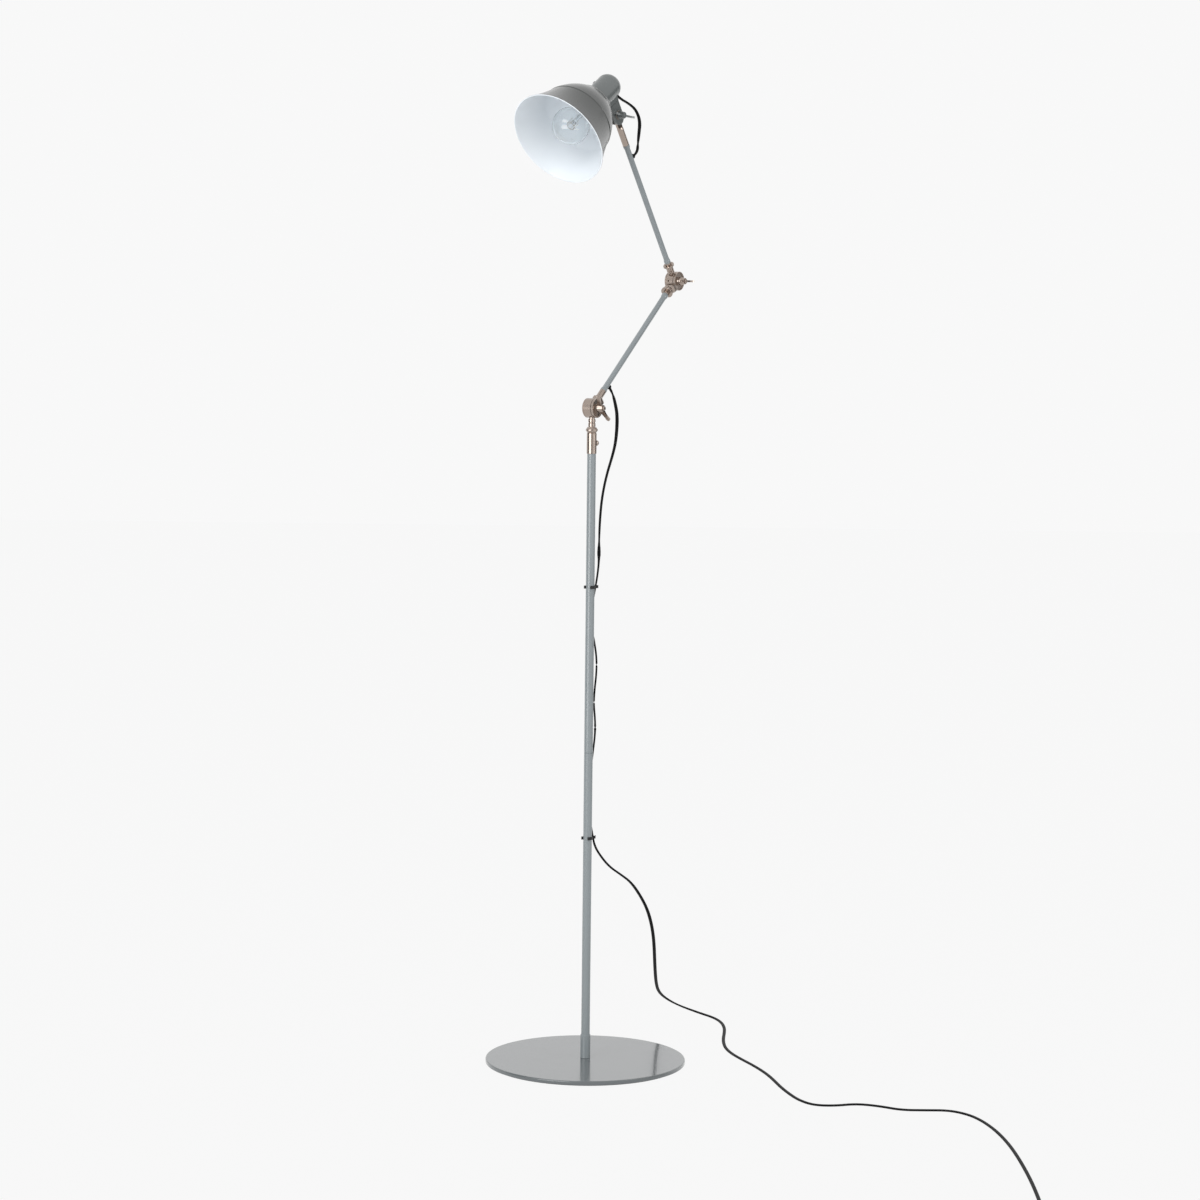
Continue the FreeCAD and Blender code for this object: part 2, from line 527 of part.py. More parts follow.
def build_shade():
    """The spun steel shade: round shoulder, pressed ridge, flared skirt and a turned rim."""
    rim, ridge, shoulder = "rim_diameter / 2", "ridge_diameter / 2", "shoulder_radius"
    turned("shade", HEAD_AXIS, [
        ("15.9", "shade_neck + 0.1"), ("19.2", "shade_neck + 0.1"),
        (shoulder, "shade_neck + 10", "16"), (ridge + " - 0.8", "ridge_front - 2", "110"),
        (ridge, "ridge_front"), (ridge + " - 0.2", "ridge_front + 2.2"),
        (rim + " - 0.6", "rim_front - 1.6", "-320"), (rim, "rim_front - 1"), (rim, "rim_front - 0.3"),
        (rim + " - 0.3", "rim_front"), (rim + " - 0.5 - shade_wall", "rim_front"),
        (ridge + " - 0.2 - shade_wall", "ridge_front + 2.2", "321"),
        (ridge + " - 1 - shade_wall", "ridge_front - 2.2"),
        (f"{shoulder} - 0.7 * shade_wall", "shade_neck + 10 + 0.75 * shade_wall", "shade_wall - 110"),
        ("19", "shade_neck + 0.1 + shade_wall", "shade_wall - 16"), ("15.9", "shade_neck + 0.1 + shade_wall"),
    ])
    ring("shade_ring", HEAD_AXIS, "15.55", "20", "shade_neck + 0.15 + shade_wall",
         "shade_neck + 5 + shade_wall", edge=0.6)


def build_lamp_holder():
    """Screw-shell lamp holder, and a clear globe bulb with its base screwed home."""
    turned("lamp_holder", HEAD_AXIS, [
        ("0", "-2"), ("13.4", "-2"), ("15.5", "0.2"), ("15.5", "52"), ("14.9", "52.6"), ("13.7", "52.6"),
        ("13.7", "18"), ("3.6", "18"), ("3.6", "21.7"), ("0", "21.7"),
    ])
    ring("holder_shell", HEAD_AXIS, "13.2", "13.65", "19", "50", edge=0.1)
    turned("bulb_base", HEAD_AXIS, [
        ("0", "22"), ("4", "22"), ("4.4", "23.2"), ("9.5", "27"), ("12.9", "29.5"), ("12.9", "47.4"),
        ("12.3", "49.4"), ("11.7", "49.4"), ("11.7", "31"), ("0", "31"),
    ])
    globe, centre, wall = "bulb_diameter / 2", "bulb_centre", "0.8"
    turned("bulb_glass", HEAD_AXIS, [
        ("10.8", "46"), ("11.6", "46"), ("11.6", f"{centre} - 31.8"),
        (f"{globe} * 0.6", f"{centre} - {globe} * 0.8", "-12.3"),
        (globe, centre, globe), ("0", f"{centre} + {globe}", globe), ("0", f"{centre} + {globe} - {wall}"),
        (f"{globe} - {wall}", centre, f"{wall} - {globe}"),
        (f"({globe} - {wall}) * 0.6", f"{centre} - ({globe} - {wall}) * 0.8", f"{wall} - {globe}"),
        ("10.8", f"{centre} - 31.8", "13.1"),
    ])
    turned("bulb_stem", HEAD_AXIS, [
        ("0", "33"), ("9", "33"), ("8.4", "46"), ("3.2", "60", "-60"), ("2", "86"), ("2.6", "88.5"),
        ("0.6", "90.5", "3"), ("0", "90.5"),
    ])


# ---------------------------------------------------------------- cord
def place_tube(label, path, way):
    """Sweeps the cord's round section along a path."""
    start = path.OrderedVertexes[0].Point
    radius = size("cord_diameter / 2")
    section = Part.Wire([Part.makeCircle(radius, start, way)])
    pipe = Part.BRepOffsetAPI.MakePipeShell(path)
    pipe.add(section)
    pipe.build()
    pipe.makeSolid()
    feature = doc.addObject("Part::Feature", label)
    feature.Label = label
    feature.Shape = pipe.shape()
    feature.Placement = WORLD
    PIECES.append(feature)
    share = feature.Shape.Volume / (math.pi * radius ** 2 * path.Length)
    print(label, "length", round(path.Length), "volume against section x length", round(share, 4))


def build_cord(label, route):
    """A cord along straight runs joined by tangent arcs, each as large as its runs allow."""
    points = [Vector(*point) for point in route]
    edges, radii, last = [], [], points[0]
    for before, corner, after in zip(points, points[1:], points[2:]):
        arriving, leaving = corner - before, after - corner
        half_turn = arriving.getAngle(leaving) / 2
        trim = 0.45 * min(arriving.Length, leaving.Length)
        radius = trim / math.tan(half_turn)
        arriving.normalize()
        leaving.normalize()
        start, end = corner - arriving * trim, corner + leaving * trim
        inward = (leaving - arriving).normalize()
        middle = corner + inward * (radius / math.cos(half_turn) - radius)
        edges.append(Part.LineSegment(last, start).toShape())
        edges.append(Part.Arc(start, middle, end).toShape())
        radii.append(round(radius))
        last = end
    edges.append(Part.LineSegment(last, points[-1]).toShape())
    print(label, "radii", radii)
    place_tube(label, Part.Wire(edges), points[1] - points[0])


def arc_edge(start, way, end):
    """The arc that leaves start in a direction and ends at end."""
    chord = end - start
    across = Vector(chord).normalize()
    side = (way - across * way.dot(across)).normalize()
    rise = chord.Length / 2 * math.tan(way.getAngle(chord) / 2)
    return Part.Arc(start, start + chord * 0.5 + side * rise, end).toShape()


def biarc(start, start_way, end, end_way):
    """Two arcs that join two points with given directions."""
    gap, ways = end - start, start_way + end_way
    spread = 2 * (1 - start_way.dot(end_way))
    reach = (math.sqrt(gap.dot(ways) ** 2 + spread * gap.dot(gap)) - gap.dot(ways)) / spread
    first, second = start + start_way * reach, end - end_way * reach
    middle = (first + second) * 0.5
    return [arc_edge(start, start_way, middle), arc_edge(middle, (second - first).normalize(), end)]


def build_coil(label, centre):
    """The spare cord wound in two layers: inwards on the floor, up, and outwards again."""
    step, rise = size("coil_turn_step / 2"), size("coil_layer_step")
    radius, side, straight = size("coil_outer_turn"), -1, size("cord_diameter")
    across = X_AXIS * -1
    here = centre + across * radius * side
    edges = [Part.LineSegment(here - Y_AXIS * side * straight, here).toShape()]

    def half_turn(next_radius):
        nonlocal here, side
        following = centre - across * next_radius * side
        edges.append(arc_edge(here, Y_AXIS * side, following))
        here, side = following, -side

    for _ in range(5):
        radius -= step
        half_turn(radius)
    # The tube climbs to the second layer in the half turn where the spiral reverses.
    peak = centre + Y_AXIS * side * (radius - 1.4) + Z_AXIS * rise / 2
    landing = centre - across * radius * side + Z_AXIS * rise
    peak_way = (across * -side + Z_AXIS * 0.16).normalize()
    edges.extend(biarc(here, Y_AXIS * side, peak, peak_way))
    edges.extend(biarc(peak, peak_way, landing, -Y_AXIS * side))
    centre, here, side = centre + Z_AXIS * rise, landing, -side
    for _ in range(4):
        radius += step
        half_turn(radius)
    edges.append(Part.LineSegment(here, here + Y_AXIS * side * straight).toShape())
    path = Part.Wire(edges)
    samples = path.discretize(Distance=1)
    apart = 20
    gap = min((first - second).Length for index, first in enumerate(samples) for second in samples[index + apart:])
    print(label, "gap between turns", round(gap - size("cord_diameter"), 2), "leaves at", samples[-1])
    place_tube(label, path, Y_AXIS * -1)


FLOOR = size("cord_diameter / 2")
HEAD_LOOP = [
    (26.94, 40.49, 1447.73), (36.41, 53.94, 1439.71), (48.6, 68.1, 1434.3), (60.6, 80.6, 1425.5),
    (66.9, 89.2, 1409.1), (65.3, 93, 1390.1), (64, 94, 1376), (63.2, 93, 1362.8), (58, 88.9, 1358.2),
]
ARM_DROP = [(25.7, 38.7, 1012), (30, 42.6, 1005.1), (34.5, 38, 989), (37.8, 29.5, 970), (37, 27, 953)]
HEAD_DROP = [
    (37, 27, 953), (36.2, 24.5, 936), (31.5, 20.2, 914), (22.5, 14.6, 884), (16, 11.6, 851),
    (13.2, 10.3, 816), (12.4, 10.1, 782), (12.6, 10.5, 745), (7.97, 10.92, 718.15),
]
POLE_RUN = [
    (7.94, 10.92, 718), (5.2, 11.15, 702.1), (1.5, 10.6, 682), (2.6, 9.9, 655), (7.6, 9.6, 633),
    (10.8, 9.5, 610), (10.6, 9.5, 587), (8.2, 9.6, 564), (7, 9.7, 542), (9.5, 9.5, 519),
    (9.6, 9.6, 496), (7.1, 9.7, 473), (4.1, 9.9, 450), (1.7, 10, 427), (0.7, 10.1, 404),
    (1.4, 10, 381), (4.6, 10.3, 359), (7.94, 10.92, 341.5),
]
FLOOR_RUN = [
    (7.94, 10.92, 341.5), (10.6, 11.4, 327.6), (19.5, 15.5, 312), (33, 23, 294.5), (50, 34, 281), (66, 48, 267),
    (80, 69, 244), (92, 91, 218),
    (99, 115, 191), (103, 139, 165), (105, 165, 139), (106.4, 192, 114), (108, 220, 91), (110, 249, 70),
    (114, 281, 50), (125, 310, 33), (147, 331, 16.5), (180, 332, 4.5), (205, 307, FLOOR), (215.5, 273, FLOOR),
    (218.5, 236, FLOOR), (217, 200, FLOOR), (214, 164, FLOOR), (213, 127, FLOOR), (215.5, 91, FLOOR),
    (224, 56, FLOOR), (237, 22, FLOOR), (251, -12, FLOOR), (263, -46, FLOOR), (273, -81, FLOOR),
    (280, -116, FLOOR), (287, -152, FLOOR), (296, -187, FLOOR), (307, -222, FLOOR), (326, -252, FLOOR),
    (357, -255, FLOOR), (389, -242, FLOOR), (421, -254, FLOOR), (450, -275, FLOOR), (485, -275, FLOOR),
    (519, -274, FLOOR), (544, -298, FLOOR), (558, -331, FLOOR), (567, -366, FLOOR), (573.5, -402, FLOOR),
    (578, -439, FLOOR), (581.5, -480, FLOOR), (584, -535, FLOOR), (585.5, -600, FLOOR), (585.5, -665, FLOOR),
    (584, -730, FLOOR), (582, -780, FLOOR), (582.01, -826.8, FLOOR),
]
PLUG_RUN = [
    (579.1, -837.2, 8.4), (579.1, -860, 8.4), (578.2, -884, 7.6), (576.6, -908, 6.95), (575.8, -926, 6.95),
]


# ---------------------------------------------------------------- plug
def build_plug():
    """A flat two-pin plug lying on the floor, moulded in one with its bend relief."""
    frame = shift(575.8, -926, 6.95) * turn(X_AXIS, 90)
    plug = new_body("plug_body", frame)
    sections = []
    for place, width, height, corner in ((10, 8.4, 7.6, 2), (18, 17, 11, 3), (26, 30, 13.4, 4), (44, 35.3, 13.7, 4.4)):
        half, up = width / 2, height / 2
        section = outline(plug, [
            (f"{corner} - {half}", f"-{up}"), (f"{half} - {corner}", f"-{up}"), (f"{half}", f"{corner} - {up}"),
            (f"{half}", f"{up} - {corner}"), (f"{half} - {corner}", f"{up}"), (f"{corner} - {half}", f"{up}"),
            (f"-{half}", f"{up} - {corner}"), (f"-{half}", f"{corner} - {up}"),
        ], "XY_Plane")
        section.AttachmentOffset = shift(0, 0, place)
        sections.append(section)
    loft = plug.newObject("PartDesign::AdditiveLoft", "plug_body_loft")
    loft.Profile = sections[0]
    loft.Sections = sections[1:]
    loft.Ruled = True
    plug.Tip = loft
    relief = [("0", "0"), ("3.2", "0")]
    for step in range(4):
        low = 1.2 + 2.4 * step
        relief += [(f"{3.2 + 0.1 * step}", f"{low}"), (f"{2.9 + 0.1 * step}", f"{low + 0.3}"),
                   (f"{2.9 + 0.1 * step}", f"{low + 1}"), (f"{3.3 + 0.1 * step}", f"{low + 1.3}")]
    revolve(plug, relief + [("3.8", "12"), ("0", "12")])
    for label, side in (("plug_pin_left", -9.3), ("plug_pin_right", 9.3)):
        drill(plug, Vector(side, 0, 34), Z_AXIS, "4.06", "20")
        turned(label, frame * shift(side, 0, 0), [
            ("0", "34.2"), ("2", "34.2"), ("2", "61.6"), ("0.6", "63", "1.6"), ("0", "63"),
        ])


# ---------------------------------------------------------------- everything, in order
build_base()
build_pole()
build_clip("upper_clip", "clip_high")
build_clip("lower_clip", "clip_low")
build_hinges()
build_arms()
build_fork()
build_cap()
build_switch()
build_shade()
build_lamp_holder()
build_cord("cord_head_loop", HEAD_LOOP)
build_cord("cord_from_arm", ARM_DROP)
build_cord("cord_at_pole_head", HEAD_DROP)
build_cord("cord_along_pole", POLE_RUN)
build_cord("cord_on_floor", FLOOR_RUN)
build_coil("cord_coil", Vector(546, -832, FLOOR))
build_cord("cord_to_plug", PLUG_RUN)
build_plug()
doc.recompute()

for item in doc.Objects:
    if "Invalid" in item.State or "Error" in item.State:
        raise RuntimeError(f"{item.Label} did not compute: {item.State}")
os.makedirs("parts", exist_ok=True)
for piece in PIECES:
    shape = piece.Shape
    if shape.isNull() or not shape.isValid() or len(shape.Solids) != 1:
        raise RuntimeError(f"{piece.Label} is not one sound solid")
    shape.exportStep(f"parts/{piece.Label}.step")
print(len(PIECES), "pieces written")
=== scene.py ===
import json
import math

import bpy
from bpy.props import FloatProperty, FloatVectorProperty, IntProperty, PointerProperty
from mathutils import Matrix, Vector


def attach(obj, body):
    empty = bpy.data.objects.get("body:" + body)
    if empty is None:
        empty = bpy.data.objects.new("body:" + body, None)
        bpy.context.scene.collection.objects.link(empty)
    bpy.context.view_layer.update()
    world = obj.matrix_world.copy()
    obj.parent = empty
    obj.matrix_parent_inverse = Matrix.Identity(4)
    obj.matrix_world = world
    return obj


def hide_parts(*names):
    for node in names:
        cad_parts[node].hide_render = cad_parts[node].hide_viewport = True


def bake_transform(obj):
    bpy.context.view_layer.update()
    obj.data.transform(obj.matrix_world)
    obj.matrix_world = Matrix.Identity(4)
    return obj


bl_info = {
    "name": "Articulated floor lamp",
    "version": (1, 0, 0),
    "blender": (4, 5, 0),
    "location": "3D Viewport > Sidebar > Floor lamp",
    "description": "Finishes, cords, small details and a studio stage for a floor lamp",
    "category": "Object",
}

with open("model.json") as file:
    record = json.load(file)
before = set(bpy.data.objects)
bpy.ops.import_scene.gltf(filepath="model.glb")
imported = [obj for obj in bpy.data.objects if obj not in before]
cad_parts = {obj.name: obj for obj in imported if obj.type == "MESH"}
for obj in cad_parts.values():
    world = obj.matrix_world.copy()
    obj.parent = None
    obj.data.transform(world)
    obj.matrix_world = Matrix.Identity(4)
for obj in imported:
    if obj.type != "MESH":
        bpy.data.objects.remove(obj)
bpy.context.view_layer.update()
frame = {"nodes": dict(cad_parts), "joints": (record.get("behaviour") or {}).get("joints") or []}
NODES = frame["nodes"]
MM = 0.001


# ---------------------------------------------------------------- settings
def colour(name, text, default):
    return FloatVectorProperty(name=name, description=text, subtype="COLOR", size=3, min=0, max=1,
                               default=default)


def length(name, text, millimetres):
    return FloatProperty(name=name, description=text, subtype="DISTANCE", unit="LENGTH",
                         default=millimetres * MM)


class FinishSettings(bpy.types.PropertyGroup):
    paint: colour("Paint", "Grey gloss paint of the base, pole and arms", (0.255, 0.285, 0.298))
    # The shade's outside is the grey paint made much darker, as painted shade on the dome.
    shade_paint_shaded: colour("Shade outside", "Deeper grey of the shade", (0.056, 0.060, 0.058))
    # The cap, fork and head wing nut take a darker copy of the grey paint, as painted shade on the
    # head.
    cap_paint_shaded: colour("Cap", "Grey of the socket cap, fork and its wing nut", (0.155, 0.168, 0.168))
    inside: colour("Shade inside", "White enamel inside the shade", (0.90, 0.95, 0.995))
    nickel: colour("Fittings", "Warm satin nickel of hinges and sleeves", (0.40, 0.335, 0.292))
    rubber: colour("Cord", "Black of the cord, grommets and plug", (0.006, 0.006, 0.0065))


class CordSettings(bpy.types.PropertyGroup):
    width: length("Cord width", "Width of the flat twin cord", 5.2)
    thickness: length("Cord thickness", "Thickness of the flat twin cord", 3.4)


class DetailSettings(bpy.types.PropertyGroup):
    thread_pitch: length("Thread pitch", "Distance between the ridges of the hinge bolts", 1.0)
    filament_posts: IntProperty(name="Filament supports", description="Wires round the bulb's stem",
                                default=6, min=3)


class StageSettings(bpy.types.PropertyGroup):
    background: FloatProperty(name="Background", description="Brightness of floor and backdrop",
                              default=0.94, min=0)
    ambient: FloatProperty(name="Ambient", description="Share of the backdrop's light on the lamp",
                           default=0.58, min=0)
    camera_lens: FloatProperty(name="Lens", description="Focal length in millimetres",
                               default=96.0, unit="CAMERA")
    camera_pitch: FloatProperty(name="Pitch", description="How far the camera looks down",
                                subtype="ANGLE", default=math.radians(5.182))
    camera_roll: FloatProperty(name="Roll", description="Turn about the line of sight",
                               subtype="ANGLE", default=math.radians(0.623))


class LampSettings(bpy.types.PropertyGroup):
    finish: PointerProperty(type=FinishSettings)
    cord: PointerProperty(type=CordSettings)
    detail: PointerProperty(type=DetailSettings)
    stage: PointerProperty(type=StageSettings)


# ---------------------------------------------------------------- shader maths
class Value:
    """A node's output socket that can stand in sums."""

    def __init__(self, finish, socket):
        self.finish, self.socket = finish, socket

    def maths(self, operation, *values):
        return self.finish.node("ShaderNodeMath", {"operation": operation}, *values)

    def __add__(self, other):
        return self.maths("ADD", self, other)

    def __sub__(self, other):
        return self.maths("SUBTRACT", self, other)

    def __mul__(self, other):
        return self.maths("MULTIPLY", self, other)

    def __lt__(self, other):
        return self.maths("LESS_THAN", self, other)

    def __gt__(self, other):
        return self.maths("GREATER_THAN", self, other)

    __radd__ = __add__


class Finish:
    """A material whose nodes are written as expressions."""

    def __init__(self, name):
        self.material = bpy.data.materials.new(name)
        self.material.use_nodes = True
        self.tree = self.material.node_tree
        self.tree.nodes.clear()

    def node(self, kind, settings=None, *values, output=0, **named):
        made = self.tree.nodes.new(kind)
        for key, setting in (settings or {}).items():
            setattr(made, key, setting)
        sockets = [socket for socket in made.inputs if socket.enabled]
        pairs = list(zip(sockets, values))
        for key, value in named.items():
            pairs.append((next(s for s in sockets if s.name == key.replace("_", " ")), value))
        for socket, value in pairs:
            if isinstance(value, Value):
                self.tree.links.new(value.socket, socket)
            elif socket.type == "RGBA" and len(value) == 3:
                socket.default_value = (*value, 1)
            else:
                socket.default_value = value
        outputs = [socket for socket in made.outputs if socket.enabled]
        if isinstance(output, str):
            return Value(self, next(socket for socket in outputs if socket.name == output))
        return Value(self, outputs[output])

    def place(self, output="Object"):
        return self.node("ShaderNodeTexCoord", output=output)

    def noise(self, scale, detail=3.0, roughness=0.5):
        return self.node("ShaderNodeTexNoise", Vector=self.place(), Scale=scale, Detail=detail,
                         Roughness=roughness)

    def vector(self, operation, *values, **named):
        output = "Value" if operation == "DOT_PRODUCT" else "Vector"
        return self.node("ShaderNodeVectorMath", {"operation": operation}, *values, output=output,
                         **named)

    def mix(self, factor, first, second):
        return self.node("ShaderNodeMix", {"data_type": "RGBA"}, Factor=factor, A=first, B=second)

    def maths_max(self, first, second):
        return self.node("ShaderNodeMath", {"operation": "MAXIMUM"}, first, second)

    def bump(self, height, distance, strength=1.0):
        return self.node("ShaderNodeBump", Strength=strength, Distance=distance, Height=height)

    def surface(self, **named):
        return self.ending_in(self.node("ShaderNodeBsdfPrincipled", **named))

    def ending_in(self, shader):
        end = self.tree.nodes.new("ShaderNodeOutputMaterial")
        self.tree.links.new(shader.socket, end.inputs["Surface"])
        return self.material


def scaled(tone, factor):
    return tuple(min(1.0, part * factor) for part in tone)


# ---------------------------------------------------------------- joints and axes
JOINTS = {joint["name"]: joint for joint in frame["joints"]}


def joint_place(name):
    return Vector(JOINTS[name]["pos_m"])


def joint_axis(name):
    return Vector(JOINTS[name]["axis"]).normalized()


def frame_along(start, direction):
    """A placing matrix whose Z axis points in a direction."""
    return Matrix.Translation(start) @ direction.to_track_quat("Z", "Y").to_matrix().to_4x4()


# The point of the bulb's axis that is level with the head hinge, inside the socket cap, and the
# axis' direction towards the shade's mouth, as in the CAD model.
LAMP_START = Vector((15.4793, 24.7720, 1451.8653)) * MM
LAMP_WAY = Vector((-0.5145, -0.6261, -0.5860)).normalized()
SHADE_LIP = 132.9 * MM
PEEL_DEPTH, SHADE_PEEL_DEPTH = 0.00001, 0.00002


# ---------------------------------------------------------------- finishes
def make_paint(name, tone, gloss, coat=0.35):
    """Stoved gloss paint: faint orange peel, soft cloudiness and a clear top layer."""
    finish = Finish(name)
    clouds = finish.noise(9.0, 4.0)
    peel = finish.noise(420.0, 2.0)
    base = finish.mix(clouds, scaled(tone, 0.94), scaled(tone, 1.06))
    dust = finish.noise(70.0, 5.0, 0.6)
    return finish.surface(Base_Color=base, Roughness=gloss + (dust - 0.5) * 0.10, Coat_Weight=coat,
                          Coat_Roughness=0.08, Normal=finish.bump(peel, PEEL_DEPTH, 0.15))


def make_shade(name, outside, inside):
    """Grey paint outside, darkened as painted shade, and white enamel inside, told apart by which way
    the wall faces.
    """
    finish = Finish(name)
    place = finish.vector("SUBTRACT", finish.place(), tuple(LAMP_START))
    reach = finish.vector("DOT_PRODUCT", place, tuple(LAMP_WAY))
    along = finish.vector("SCALE", Vector=tuple(LAMP_WAY), Scale=reach)
    outward = finish.vector("SUBTRACT", place, along)
    facing = finish.vector("DOT_PRODUCT", outward, finish.place("Normal"))
    white = finish.maths_max(facing < 0.0, reach > SHADE_LIP)
    clouds = finish.noise(12.0, 3.0)
    # The outside grey comes in darkened as painted shade; the clouds vary it at random.
    grey = finish.mix(clouds, scaled(outside, 0.93), scaled(outside, 1.07))
    cream = finish.mix(clouds, scaled(inside, 0.97), inside)
    peel = finish.noise(380.0, 2.0)
    return finish.surface(Base_Color=finish.mix(white, grey, cream),
                          Roughness=white * 0.06 + 0.24 + (clouds - 0.5) * 0.06,
                          Coat_Weight=0.4, Coat_Roughness=0.06,
                          Normal=finish.bump(peel, SHADE_PEEL_DEPTH, 0.25))


def make_metal(name, tone, roughness, grain, depth):
    """Plated metal with the fine grain and stains of handling."""
    finish = Finish(name)
    stains = finish.noise(45.0, 5.0, 0.6)
    fine = finish.noise(grain, 3.0, 0.6)
    base = finish.mix(stains, scaled(tone, 0.86), scaled(tone, 1.08))
    return finish.surface(Base_Color=base, Metallic=1.0,
                          Roughness=roughness + (stains - 0.5) * 0.18,
                          Normal=finish.bump(fine, depth, 0.5))


def make_soft(name, tone, roughness, grain, depth, sheen=0.0, shine=0.5):
    """Rubber, moulded plastic, felt or porcelain, by its grain."""
    finish = Finish(name)
    patches = finish.noise(35.0, 4.0)
    fine = finish.noise(grain, 4.0, 0.6)
    base = finish.mix(patches, scaled(tone, 0.85), scaled(tone, 1.25 if max(tone) < 0.5 else 1.03))
    return finish.surface(Base_Color=base, Roughness=roughness + (fine - 0.5) * 0.12,
                          Sheen_Weight=sheen, Specular_IOR_Level=shine,
                          Normal=finish.bump(fine, depth, 0.4))


def make_glass(name):
    finish = Finish(name)
    ripple = finish.noise(30.0, 1.0)
    return finish.surface(Base_Color=(0.97, 0.985, 0.99), Transmission_Weight=1.0, IOR=1.45,
                          Roughness=ripple * 0.03, Normal=finish.bump(ripple, 0.0001, 0.1))


def make_wire(name):
    finish = Finish(name)
    wear = finish.noise(900.0, 3.0)
    base = finish.mix(wear, (0.32, 0.27, 0.22), (0.5, 0.42, 0.33))
    return finish.surface(Base_Color=base, Metallic=1.0, Roughness=0.3 + wear * 0.2)


FINISHES = {}
NODE_FINISH = {
    # The base plate and the cap take darker copies of the grey paint, as painted shade.
    "plate_paint_shaded": "base_plate",
    "paint": "foot_collar lower_pole upper_pole lower_arm_tube upper_arm_tube",
    "cap_paint_shaded": "head_fork socket_cap head_wing_nut head_bolt",
    "shade": "shade",
    "nickel": "pole_sleeve swivel_ring sleeve_screw pole_hinge_drum elbow_drum lower_arm_leaf "
              "elbow_leaf upper_arm_flange upper_arm_tongue pole_hinge_bolt elbow_bolt "
              "pole_hinge_wing_nut elbow_wing_nut pole_hinge_washer elbow_washer head_washer",
    "steel": "base_screw foot_plug pole_stud fork_screw_front fork_screw_rear",
    "brass": "holder_shell bulb_base plug_pin_left plug_pin_right",
    "rubber": "lower_arm_grommet upper_arm_grommet head_outlet plug_body",
    "plastic": "upper_clip lower_clip fork_pad pole_hinge_friction_washer elbow_friction_washer "
               "switch_body switch_knob",
    "felt": "base_pad",
    "porcelain": "lamp_holder shade_ring",
    "glass": "bulb_glass bulb_stem",
}


class LAMP_OT_finishes(bpy.types.Operator):
    """Gives every piece that stays as drawn its finish"""
    bl_idname = "lamp.finishes"
    bl_label = "Finishes"

    def execute(self, context):
        chosen = context.scene.lamp.finish
        FINISHES["paint"] = make_paint("grey_gloss_paint", tuple(chosen.paint), 0.24)
        # The base plate takes the grey paint at half its tone, as painted shade.
        FINISHES["plate_paint_shaded"] = make_paint("plate_paint_shaded", scaled(chosen.paint, 0.5), 0.2, coat=0.6)
        # The cap's grey is a darker copy of the paint, as painted shade.
        FINISHES["cap_paint_shaded"] = make_paint("cap_paint_shaded", tuple(chosen.cap_paint_shaded), 0.24)
        # The shade's outside grey is darker still, as painted shade.
        FINISHES["shade"] = make_shade("shade_enamel_and_painted_shade", tuple(chosen.shade_paint_shaded),
                                       tuple(chosen.inside))
        FINISHES["nickel"] = make_metal("satin_nickel", tuple(chosen.nickel), 0.22, 420.0, 0.000006)
        FINISHES["steel"] = make_metal("plain_steel", (0.55, 0.56, 0.58), 0.35, 900.0, 0.00005)
        FINISHES["brass"] = make_metal("brass", (0.72, 0.56, 0.3), 0.3, 800.0, 0.00005)
        FINISHES["rubber"] = make_soft("black_rubber", tuple(chosen.rubber), 0.5, 900.0, 0.00005,
                                       shine=0.08)
        FINISHES["plastic"] = make_soft("black_plastic", (0.012, 0.012, 0.013), 0.42, 600.0, 0.00004,
                                        shine=0.3)
        FINISHES["felt"] = make_soft("base_felt", (0.03, 0.03, 0.03), 0.9, 500.0, 0.0003, sheen=0.3)
        FINISHES["porcelain"] = make_soft("white_porcelain", (0.84, 0.84, 0.82), 0.2, 150.0,
                                          0.00003)
        FINISHES["glass"] = make_glass("bulb_glass")
        FINISHES["wire"] = make_wire("filament_wire")
        for finish, nodes in NODE_FINISH.items():
            for node in nodes.split():
                mesh = NODES[node].data
                mesh.materials.clear()
                mesh.materials.append(FINISHES[finish])
        return {"FINISHED"}


# ---------------------------------------------------------------- cords
# Lengths of the four cords in metres, as the tubes of the CAD model have them.
HEAD_CORD, ARM_CORD, POLE_HEAD_CORD = 0.130, 0.064, 0.239
# Heights in millimetres of the cord's middle on the floor and on the coil's lower layer.
LAY = 1.8
UPPER_LAY = 5.3
HEAD_LOOP = [
    (26.94, 40.49, 1447.73), (36.41, 53.94, 1439.71), (48.6, 68.1, 1434.3), (60.6, 80.6, 1425.5),
    (66.9, 89.2, 1409.1), (65.3, 93, 1390.1), (64, 94, 1376), (63.2, 93, 1362.8), (58, 88.9, 1358.2),
]
ARM_DROP = [(25.7, 38.7, 1012), (30, 42.6, 1005.1), (34.5, 38, 989), (37.8, 29.5, 970), (37, 27, 953)]
HEAD_DROP = [
    (37, 27, 953), (36.2, 24.5, 936), (31.5, 20.2, 914), (22.5, 14.6, 884), (16, 11.6, 851),
    (13.2, 10.3, 816), (12.4, 10.1, 782), (12.6, 10.5, 745), (7.97, 10.92, 718.15),
]
POLE_RUN = [
    (7.94, 10.92, 718), (5.2, 11.15, 702.1), (1.5, 10.6, 682), (2.6, 9.9, 655), (7.6, 9.6, 633),
    (10.8, 9.5, 610), (10.6, 9.5, 587), (8.2, 9.6, 564), (7, 9.7, 542), (9.5, 9.5, 519),
    (9.6, 9.6, 496), (7.1, 9.7, 473), (4.1, 9.9, 450), (1.7, 10, 427), (0.7, 10.1, 404),
    (1.4, 10, 381), (4.6, 10.3, 359), (7.94, 10.92, 341.5),
]
